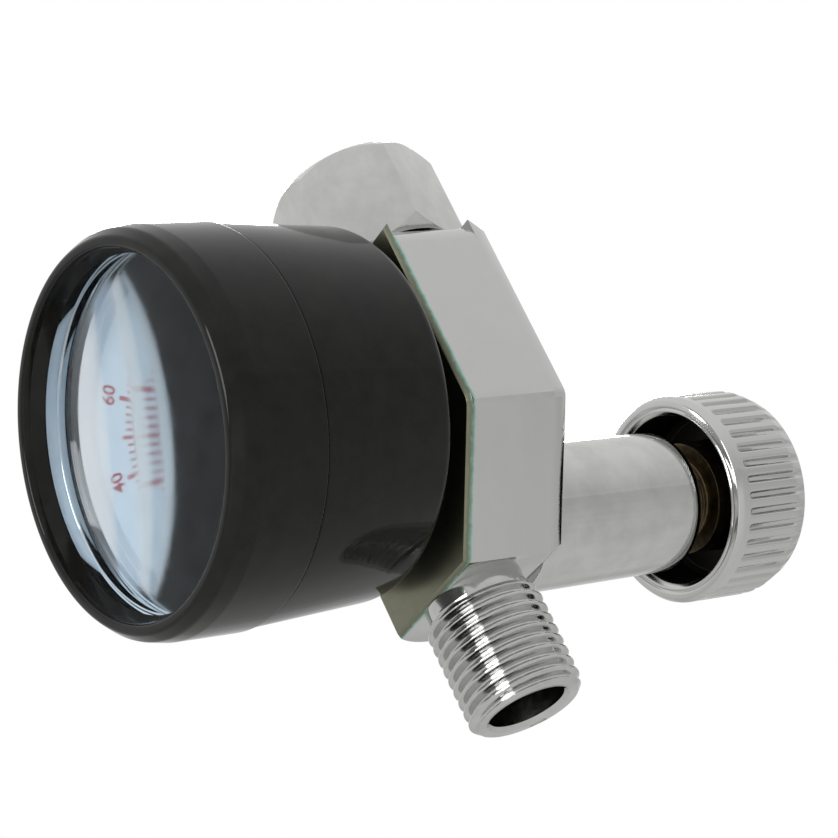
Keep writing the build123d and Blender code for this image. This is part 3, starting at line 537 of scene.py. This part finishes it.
def inlet_nipple():
    """The inlet with its helical male thread, neck and open bore."""
    bottom, top = low("inlet_nipple").z, high("inlet_nipple").z
    body_bottom = low("regulator_body").z
    thread_top = body_bottom - 1.4
    chamfer = 0.8

    def shape(radius, place, angle):
        if radius < CREST_R - 0.01:
            return radius
        turns = place / PITCH - angle / (2 * pi)
        fade = eased(place, thread_top, thread_top - 1.1)
        thread = CREST_R - THREAD_DEPTH * (1 - ridge(turns)) * fade
        thread -= (1 - fade) * THREAD_DEPTH * 0.9
        cone = CREST_R - chamfer + (place - bottom)
        return min(thread, cone)

    steps = 240
    start = bottom + 0.02
    crest = [Vector((CREST_R, start + (thread_top - start) * k / steps)) for k in range(steps + 1)]
    bore = [
        (4.85, bottom, 0.05),
        (4.35, bottom + 0.5, 0.05),
        (4.35, -51.0, 0.1),
        (3.2, -50.0, 0.1),
        (3.2, top, 0),
        (5.0, top, 0),
        (5.0, body_bottom + 0.02, 0),
        (5.75, body_bottom, 0),
        (5.75, thread_top + 0.03, 0.02),
    ]
    points = section(bore, 3) + list(reversed(crest))
    piece = turned("inlet_nipple_threaded", points, INLET, "Z", 160, shape, 50)
    stand_for(piece, "inlet_nipple", chrome("chrome_thread", wave=0.006, grain=0.003, rough=(0.06, 0.16)))


def nut_thread():
    """The nut's helical female thread, as a ring in its bore."""
    depth = 5.4

    def shape(radius, place, angle):
        if radius > 6.64:
            return radius
        turns = place / PITCH - angle / (2 * pi)
        fade = eased(place, -0.15, -0.9) * eased(place, -depth + 0.05, -depth + 0.6)
        return 6.62 - 0.78 * ridge(turns) * fade

    steps = 110
    inner = [Vector((6.6, -0.05 - (depth - 0.1) * k / steps)) for k in range(steps + 1)]
    points = inner + [Vector((6.8, -depth + 0.05)), Vector((6.8, -0.05))]
    piece = turned("swivel_nut_thread", points, Vector((0, 0, 0)), "Z", 144, shape, 50)
    goes_with(piece, "swivel_nut", FINISH["chromed_brass"])


# ---------------------------------------------------------------- body, nut and bonnet


def worn_plate():
    """The body's chrome, with painted reflections: its front face painted dark olive and made rougher, and
    a teal band painted where that starts.
    """
    recipe = Recipe("chrome_body")
    split = recipe.node("ShaderNodeSeparateXYZ", {"Vector": recipe.place})
    front = recipe.between(split.outputs["Y"], 0.0, 1.0, -5.9 * MM, -6.9 * MM)
    ragged = recipe.between(recipe.noise(1.1, 5.0, 0.6), -0.1, 0.1, 0.3, 0.7)
    reflection_and_dull = recipe.node("ShaderNodeMath", {0: front, 1: ragged}, operation="ADD").outputs["Value"]
    # Painted reflection: the front face's dark olive and the teal band at its edge are painted into the
    # base colour; the same mask also makes the front face rougher.
    recipe.set(
        Base_Color=recipe.colours(
            reflection_and_dull,
            (0.0, PLATE),
            (0.25, (0.54, 0.56, 0.54)),
            (0.5, (0.22, 0.42, 0.36)),
            (0.75, (0.17, 0.18, 0.13)),
            (1.0, (0.22, 0.22, 0.16)),
        ),
        Metallic=1.0,
        Roughness=recipe.between(reflection_and_dull, 0.08, 0.32, 0.3, 0.8),
    )
    ripple = recipe.bump(recipe.noise(5.0, 1.0, 0.4), 0.08)
    recipe.set(Normal=recipe.bump(recipe.noise(0.22, 2.0, 0.6), 0.003, 1.0, ripple))
    return recipe.material


def chromed_parts():
    body = softened("regulator_body", "regulator_body_plated", 0.28)
    stand_for(body, "regulator_body", worn_plate())
    nut = chrome("chrome_nut", wave=0.006, grain=0.006, rough=(0.07, 0.17), wave_size=3.0)
    stand_for(softened("swivel_nut", "swivel_nut_plated", 0.12, 3), "swivel_nut", nut)


def bonnet():
    front, back = low("bonnet").y, high("bonnet").y
    body_back = high("regulator_body").y
    corners = [
        (5.05, back, 0.15),
        (5.05, 23.0, 0),
        (5.5, 22.55, 0),
        (5.5, front, 0),
        (6.5, front, 0),
        (6.5, body_back - 0.01, 0),
        (8.3, body_back + 0.01, 0.12),
        (8.1, back, 1.75),
    ]
    piece = turned("bonnet_tube", section(corners, 10), KNOB, segments=256)
    tube = chrome("chrome_tube", wave=0.007, grain=0.002, rough=(0.05, 0.1), wave_size=7.0)
    stand_for(piece, "bonnet", tube)


# ---------------------------------------------------------------- knob

FLUTES = 40


def knob_plate(rim):
    """The knob's chrome, painted black down inside the mouth as painted shade."""
    recipe = Recipe("chrome_knob")
    inside = recipe.between(recipe.reach(KNOB), 1.0, 0.0, 9.85 * MM, 10.1 * MM)
    split = recipe.node("ShaderNodeSeparateXYZ", {"Vector": recipe.place})
    deep = recipe.between(split.outputs["Y"], 0.0, 1.0, (rim + 0.3) * MM, (rim + 1.2) * MM)
    shallow_end = recipe.between(split.outputs["Y"], 1.0, 0.0, 40.2 * MM, 40.6 * MM)
    # Painted shade: this mask paints the chrome near black and rougher down inside the knob's hollow mouth.
    mouth = recipe.node("ShaderNodeMath", {0: inside, 1: deep}, operation="MULTIPLY").outputs["Value"]
    mouth = recipe.node("ShaderNodeMath", {0: mouth, 1: shallow_end}, operation="MULTIPLY").outputs["Value"]
    recipe.set(
        Base_Color=recipe.colours(mouth, (0.0, PLATE), (1.0, (0.03, 0.028, 0.025))),
        Metallic=1.0,
        Roughness=recipe.between(mouth, 0.09, 0.45, 0.0, 1.0),
        Normal=recipe.bump(recipe.noise(0.22, 2.0, 0.6), 0.003),
    )
    return recipe.material


def knob():
    """Fluted knob with a hollow mouth and a turned recess in its end."""
    rim, end = low("adjusting_knob").y, high("adjusting_knob").y
    outer = 12.05
    floor_r = 11.52
    groove_half = 0.235

    def shape(radius, place, angle):
        if radius <= floor_r or place < rim + 1.5:
            return radius
        share = abs((angle * FLUTES / (2 * pi)) % 1.0 - 0.5)
        groove = 1 - eased(share, groove_half * 0.45, groove_half * 1.25)
        fade = eased(place, rim + 1.6, rim + 2.3)
        return radius - (radius - floor_r) * groove * fade

    corners = [
        (9.8, rim + 0.75, 0.35),
        (10.4, rim + 0.12, 0.3),
        (10.7, rim + 0.32, 0.08),
        (10.95, rim + 0.05, 0.25),
        (11.6, rim + 0.15, 0.35),
        (outer, rim + 0.75, 0.5),
        (outer, rim + 1.6, 0.1),
        (outer - 0.02, rim + 1.9, 0.0),
        (outer, rim + 2.3, 0.0),
        (outer, end - 2.9, 1.2),
        (outer - 0.9, end - 0.75, 1.0),
        (outer - 2.3, end - 0.02, 0.3),
        (9.3, end, 0.15),
        (9.0, end - 0.7, 0.15),
        (3.4, end - 0.7, 0.1),
        (3.4, end - 1.3, 0.1),
        (1.6, end - 1.3, 0),
        (1.6, end - 2.0, 0),
        (4.0, end - 2.0, 0),
        (4.0, 36.0, 0),
        (6.5, 36.0, 0),
        (6.5, 39.5, 0.1),
        (9.2, 39.5, 0.3),
        (9.8, 38.8, 0.3),
    ]
    around = FLUTES * 16
    points = section(corners, 5)
    piece = turned("adjusting_knob_fluted", points, KNOB, segments=around, shape=shape, smooth=50)
    stand_for(piece, "adjusting_knob", knob_plate(rim))


def adjusting_screw():
    """Brass screw with its fine thread and a plain collar."""
    front, back = low("adjusting_screw").y, high("adjusting_screw").y
    pitch = 1.0

    def shape(radius, place, angle):
        if not 4.99 < radius < 5.01:
            return radius
        turns = place / pitch + angle / (2 * pi)
        fade = eased(place, 31.0, 31.6) * eased(place, 34.1, 33.6)
        return radius - 0.42 * (1 - ridge(turns)) * fade

    run = [Vector((5.0, front + 0.8 + (34.2 - front - 0.8) * k / 200)) for k in range(201)]
    rest = section(
        [
            (6.5, 34.2, 0.2),
            (6.5, 36.0, 0.15),
            (4.0, 36.0, 0),
            (4.0, back, 0.1),
            (1.5, back, 0),
            (1.5, 36.0, 0),
        ],
        4,
    )
    points = [Vector((0, front)), Vector((4.2, front))] + run + rest + [Vector((0, 36.0))]
    piece = turned("adjusting_screw_threaded", points, KNOB, segments=128, shape=shape)
    # Painted shade: the brass is painted nearly black because the screw sits down in the knob's dark mouth.
    shaded_brass = turned_metal("shaded_brass", (0.16, 0.12, 0.065), (0.07, 0.055, 0.035), KNOB, rough=(0.3, 0.5))
    stand_for(piece, "adjusting_screw", shaded_brass)


# ---------------------------------------------------------------- gauge


def gauge_shell():
    """Case and bezel, turned with the soft corners of pressed steel."""
    case_back = high("gauge_case").y
    seam = high("gauge_bezel").y
    nose = low("gauge_bezel").y
    socket_back = case_back - CASE_WALL
    dial_back = high("dial_plate").y
    front = low("gauge_lens").y - 0.01
    ledge = high("lens_gasket").y
    case = [
        (SOCKET_HOLE_R, case_back, 0.1),
        (20.55, case_back, 1.3),
        (21.6, seam + 0.1, 0.25),
        (CASE_BORE_R, seam + 0.02, 0),
        (CASE_BORE_R, ledge, 0),
        (DIAL_BORE_R, ledge, 0),
        (DIAL_BORE_R, dial_back, 0),
        (CASE_INNER_R, dial_back, 0),
        (CASE_INNER_R, socket_back, 0),
        (SOCKET_HOLE_R, socket_back, 0),
    ]
    stand_for(turned("gauge_case_shell", section(case, 8), GAUGE, segments=256), "gauge_case")
    bezel = [
        (BEZEL_BORE_R, seam, 0),
        (BEZEL_BORE_R, front, 0),
        (WINDOW_R, front, 0.05),
        (WINDOW_R, front - 0.15, 0.1),
        (19.35, nose + 0.9, 0.6),
        (19.6, nose, 0.5),
        (20.6, nose, 0.7),
        (21.5, nose + 1.3, 1.2),
        (GAUGE_R, nose + 3.3, 1.5),
        (GAUGE_R, seam, 0.3),
    ]
    stand_for(turned("gauge_bezel_shell", section(bezel, 9), GAUGE, segments=256), "gauge_bezel")


def gauge_window():
    front, back = low("gauge_lens").y, high("gauge_lens").y
    corners = [(0, front, 0), (LENS_R, front, 0.08), (LENS_R, back, 0.08), (0, back, 0)]
    stand_for(turned("gauge_lens_disc", section(corners, 3), GAUGE, smooth=15), "gauge_lens")
    ring_front = low("dial_ring").y
    ledge = high("lens_gasket").y
    wall = [
        (RING_BORE_R, ring_front, 0.06),
        (RING_R, ring_front, 0.05),
        (RING_R, ledge, 0),
        (RING_WALL_R, ledge, 0),
        (RING_WALL_R, DIAL_Y, 0),
        (WINDOW_R + 0.1, DIAL_Y, 0.04),
        (WINDOW_R + 0.1, DIAL_Y - 1.3, 0.1),
        (WINDOW_R + 0.22, DIAL_Y - 1.35, 0.08),
        (WINDOW_R + 0.22, DIAL_Y - 2.6, 0.08),
        (WINDOW_R + 0.4, DIAL_Y - 2.65, 0.06),
        (WINDOW_R + 0.4, ledge, 0),
        (RING_BORE_R, ledge, 0),
    ]
    stand_for(turned("dial_ring_stepped", section(wall, 4), GAUGE, segments=192), "dial_ring")


# Printed scales. Angles are clockwise from straight up, seen from the front.
ZERO = 228.5
SWEEP = 250.8
BAR_MAX = 12
PSI_STEP = 28.82 / 20
PRINT_LIFT = 0.03
BAR_ARC_R = 12.9
PSI_ARC_R = 13.6
PSI_END = 170
TITLE = "PRESSURE GAUGE"
TITLE_FROM, TITLE_STEP = 313, 7


def on_dial(radius, angle, lift=0.0):
    turn = radians(angle)
    return Vector((GAUGE.x + radius * sin(turn), DIAL_Y - lift, GAUGE.z + radius * cos(turn)))


def bar_of_ink(verts, faces, inner, outer, angle, width):
    """A printed tick as a thin raised box."""
    turn = radians(angle)
    side = Vector((cos(turn), 0, -sin(turn))) * (width / 2)
    base = len(verts)
    for lift in (0.0, PRINT_LIFT):
        for radius, sign in ((inner, -1), (inner, 1), (outer, 1), (outer, -1)):
            verts.append(on_dial(radius, angle, lift) + side * sign)
    faces.append(tuple(base + k for k in (0, 1, 2, 3)))
    faces.append(tuple(base + k for k in (7, 6, 5, 4)))
    for k in range(4):
        n = (k + 1) % 4
        faces.append((base + k, base + 4 + k, base + 4 + n, base + n))


def arc_of_ink(verts, faces, inner, outer, start, end, steps=160):
    """A printed arc as a thin raised band."""
    base = len(verts)
    for k in range(steps + 1):
        angle = start + (end - start) * k / steps
        for radius, lift in ((inner, 0.0), (inner, PRINT_LIFT), (outer, PRINT_LIFT), (outer, 0.0)):
            verts.append(on_dial(radius, angle, lift))
    for k in range(steps):
        for c in range(4):
            n = (c + 1) % 4
            a, b = base + 4 * k, base + 4 * (k + 1)
            faces.append((a + c, a + n, b + n, b + c))
    faces.append(tuple(base + c for c in (3, 2, 1, 0)))
    faces.append(tuple(base + 4 * steps + c for c in (0, 1, 2, 3)))


def letters(verts, faces, text, size, radius, angle, turn, width=1.0, bold=0.0):
    """Adds raised lettering centred at a place on the dial, turned clockwise by turn degrees."""
    curve = bpy.data.curves.new("lettering", "FONT")
    curve.body = text
    curve.size = size
    curve.align_x, curve.align_y = "CENTER", "CENTER"
    curve.extrude = PRINT_LIFT / 2
    curve.offset = bold
    curve.resolution_u = 4
    holder = bpy.data.objects.new("lettering", curve)
    bpy.context.scene.collection.objects.link(holder)
    bpy.context.view_layer.update()
    mesh = bpy.data.meshes.new_from_object(holder.evaluated_get(bpy.context.evaluated_depsgraph_get()))
    centre = on_dial(radius, angle, PRINT_LIFT / 2)
    spin = radians(turn)
    right = Vector((cos(spin), 0, -sin(spin)))
    up = Vector((sin(spin), 0, cos(spin)))
    base = len(verts)
    for v in mesh.vertices:
        verts.append(centre + right * (v.co.x * width) + up * v.co.y + Vector((0, -v.co.z, 0)))
    faces.extend(tuple(base + i for i in p.vertices) for p in mesh.polygons)
    bpy.data.objects.remove(holder)
    bpy.data.meshes.remove(mesh)
    bpy.data.curves.remove(curve)


def dial_printing():
    """Black bar scale with inward ticks and a red psi scale outside it."""
    verts, faces = [], []
    arc_of_ink(verts, faces, BAR_ARC_R - 0.14, BAR_ARC_R + 0.14, ZERO, ZERO + SWEEP)
    per_bar = SWEEP / BAR_MAX
    for k in range(BAR_MAX * 5 + 1):
        angle = ZERO + per_bar * k / 5
        length, width = (1.8, 0.42) if k % 10 == 0 else (1.5, 0.34) if k % 5 == 0 else (0.95, 0.22)
        bar_of_ink(verts, faces, BAR_ARC_R - length, BAR_ARC_R, angle, width)
    for bar in range(2, BAR_MAX + 1, 2):
        angle = ZERO + per_bar * bar
        letters(verts, faces, str(bar), 3.0, 9.6, angle, angle, 0.82, 0.04)
    letters(verts, faces, "0", 2.6, 9.2, 236, 236, 0.82, 0.04)
    letters(verts, faces, "bar", 2.9, 5.7, 183, 0, 0.85, 0.03)
    for i, letter in enumerate(TITLE):
        angle = TITLE_FROM + TITLE_STEP * i
        if letter != " ":
            letters(verts, faces, letter, 1.5, 7.4, angle, angle, 0.9, 0.02)
    piece = add_piece("dial_print_black", verts, faces, 30)
    goes_with(piece, "dial_plate", ink("black_ink", (0.01, 0.01, 0.012), (0.03, 0.03, 0.034)))

    verts, faces = [], []
    arc_of_ink(verts, faces, PSI_ARC_R - 0.12, PSI_ARC_R + 0.12, ZERO, ZERO + PSI_END * PSI_STEP)
    for k in range(PSI_END // 2 + 1):
        psi = 2 * k
        angle = ZERO + psi * PSI_STEP
        length, width = (2.0, 0.42) if psi % 20 == 0 else (1.6, 0.34) if psi % 10 == 0 else (1.0, 0.22)
        bar_of_ink(verts, faces, PSI_ARC_R, PSI_ARC_R + length, angle, width)
    for psi in range(20, PSI_END, 20):
        angle = ZERO + psi * PSI_STEP
        letters(verts, faces, str(psi), 2.5, 17.1, angle, angle, 0.8, 0.03)
    letters(verts, faces, "0", 2.5, 16.6, 231, 231, 0.85, 0.08)
    piece = add_piece("dial_print_red", verts, faces, 30)
    goes_with(piece, "dial_plate", ink("red_ink", (0.42, 0.012, 0.03), (0.55, 0.03, 0.05)))


def pointer():
    """Pressed needle with rounded edges, its hub boss and the end of its arbor."""
    stand_for(softened("pointer", "pointer_pressed", 0.06, 2), "pointer")
    front, back = low("pointer_hub").y, high("pointer_hub").y
    corners = [
        (0, front + 0.3, 0),
        (0.6, front + 0.3, 0.03),
        (0.7, front, 0.1),
        (1.35, front, 0.2),
        (1.9, front + 0.4, 0.2),
        (1.9, back, 0),
        (0, back, 0),
    ]
    hub = turned("pointer_hub_turned", section(corners, 4), GAUGE, segments=96)
    steel = turned_metal("hub_steel", STEEL, STEEL_DIM, GAUGE, rough=(0.14, 0.26), size=0.08)
    stand_for(hub, "pointer_hub", steel)


def springs():
    front, back = low("range_spring").y, high("range_spring").y
    spring = coil("range_spring_coil", KNOB, 3.9, 0.6, front, back, 4.2)
    stand_for(spring, "range_spring")
    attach(spring, "piston")
    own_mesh(spring)
    front, back = low("poppet_spring").y, high("poppet_spring").y
    spring = coil("poppet_spring_coil", KNOB, 2.2, 0.2, front, back, 2.6)
    stand_for(spring, "poppet_spring")
    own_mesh(spring)


SOFT_EDGES = {
    "dial_screws": 0.05,
    "stop_pin": 0.05,
    "knob_screw": 0.1,
    "case_screws": 0.06,
    "sector_gear": 0.02,
    "link_rod": 0.03,
    "tube_end": 0.08,
    "movement_front_plate": 0.05,
    "movement_back_plate": 0.05,
    "gauge_socket": 0.15,
}


def carried_over():
    """Small metal parts with their edges broken, and every other CAD node in its finish."""
    for node, width in SOFT_EDGES.items():
        stand_for(softened(node, node + "_finished", width, 2, 35), node)
    for node, shown in NODES.items():
        if not shown.hide_render:
            dress(shown, FINISH[SLOT_OF[node]])


# ---------------------------------------------------------------- studio


def add_light(name, place, target, size, power):
    lamp = bpy.data.lights.new(name, "AREA")
    lamp.shape = "RECTANGLE"
    lamp.size, lamp.size_y = size
    lamp.energy = power
    holder = bpy.data.objects.new(name, lamp)
    bpy.context.scene.collection.objects.link(holder)
    holder.location = place
    holder.rotation_euler = (Vector(target) - Vector(place)).to_track_quat("-Z", "Y").to_euler()


def studio():
    scene = bpy.context.scene
    scene.view_settings.view_transform = "Standard"

    mesh = bpy.data.meshes.new("studio_floor")
    half, drop = 3.0, -0.32
    corners = [(-half, -half, drop), (half, -half, drop), (half, half, drop), (-half, half, drop)]
    mesh.from_pydata(corners, [], [(0, 1, 2, 3)])
    floor = bpy.data.objects.new("studio_floor", mesh)
    scene.collection.objects.link(floor)
    paint = Recipe("studio_paint")
    paint.set(
        Base_Color=paint.colours(
            paint.noise(60, 3.0, 0.5), (0.3, (0.62, 0.62, 0.61)), (0.7, (0.66, 0.66, 0.65))
        ),
        Roughness=0.7,
    )
    mesh.materials.append(paint.material)

    world = bpy.data.worlds.new("studio")
    scene.world = world
    world.use_nodes = True
    tree = world.node_tree
    surround = tree.nodes["Background"]
    place = tree.nodes.new("ShaderNodeTexCoord")
    split = tree.nodes.new("ShaderNodeSeparateXYZ")
    tree.links.new(place.outputs["Generated"], split.inputs["Vector"])
    rise = tree.nodes.new("ShaderNodeMapRange")
    rise.inputs["From Min"].default_value = -1
    tree.links.new(split.outputs["Z"], rise.inputs["Value"])
    ramp = tree.nodes.new("ShaderNodeValToRGB")
    tree.links.new(rise.outputs["Result"], ramp.inputs["Fac"])
    stops = [(0.0, 0.7), (0.36, 0.75), (0.5, 0.62), (0.62, 0.72), (0.8, 0.85), (1.0, 0.9)]
    elements = ramp.color_ramp.elements
    while len(elements) < len(stops):
        elements.new(0.5)
    for element, (position, grey) in zip(elements, stops):
        element.position = position
        element.color = (grey, grey, grey, 1)
    tree.links.new(ramp.outputs["Color"], surround.inputs["Color"])
    surround.inputs["Strength"].default_value = 1.0
    backdrop = tree.nodes.new("ShaderNodeBackground")
    backdrop.inputs["Color"].default_value = (1, 1, 1, 1)
    backdrop.inputs["Strength"].default_value = 1.0
    path = tree.nodes.new("ShaderNodeLightPath")
    mix = tree.nodes.new("ShaderNodeMixShader")
    tree.links.new(path.outputs["Is Camera Ray"], mix.inputs["Fac"])
    tree.links.new(surround.outputs["Background"], mix.inputs[1])
    tree.links.new(backdrop.outputs["Background"], mix.inputs[2])
    tree.links.new(mix.outputs["Shader"], tree.nodes["World Output"].inputs["Surface"])

    middle_point = (cad_low + cad_high) / 2
    add_light("front_softbox", (0.28, -0.75, 0.1), middle_point, (0.4, 0.4), 3.0)
    add_light("back_softbox", (-0.45, 0.45, 0.42), middle_point, (0.25, 0.12), 1.5)


def camera():
    """The photograph's viewpoint: low on the right of the dial, with the camera rolled."""
    azimuth, elevation, roll = radians(48.283), radians(-24.137), radians(-25.765)
    back = Vector((sin(azimuth) * cos(elevation), -cos(azimuth) * cos(elevation), sin(elevation)))
    level = (-back).cross(Vector((0, 0, 1))).normalized()
    upright = level.cross(-back)
    right = level * cos(roll) + upright * sin(roll)
    up = upright * cos(roll) - level * sin(roll)
    holder = bpy.data.objects.new("camera", bpy.data.cameras.new("camera"))
    bpy.context.scene.collection.objects.link(holder)
    holder.matrix_world = Matrix(
        (
            (right.x, up.x, back.x, 213.11 * MM),
            (right.y, up.y, back.y, -195.29 * MM),
            (right.z, up.z, back.z, -159.17 * MM),
            (0, 0, 0, 1),
        )
    )
    holder.data.sensor_width = 36
    holder.data.lens = 125.1
    holder.data.clip_start, holder.data.clip_end = 0.01, 20
    bpy.context.scene.camera = holder


chromed_parts()
bonnet()
inlet_nipple()
nut_thread()
knob()
adjusting_screw()
gauge_shell()
gauge_window()
dial_printing()
pointer()
springs()
carried_over()
studio()
camera()
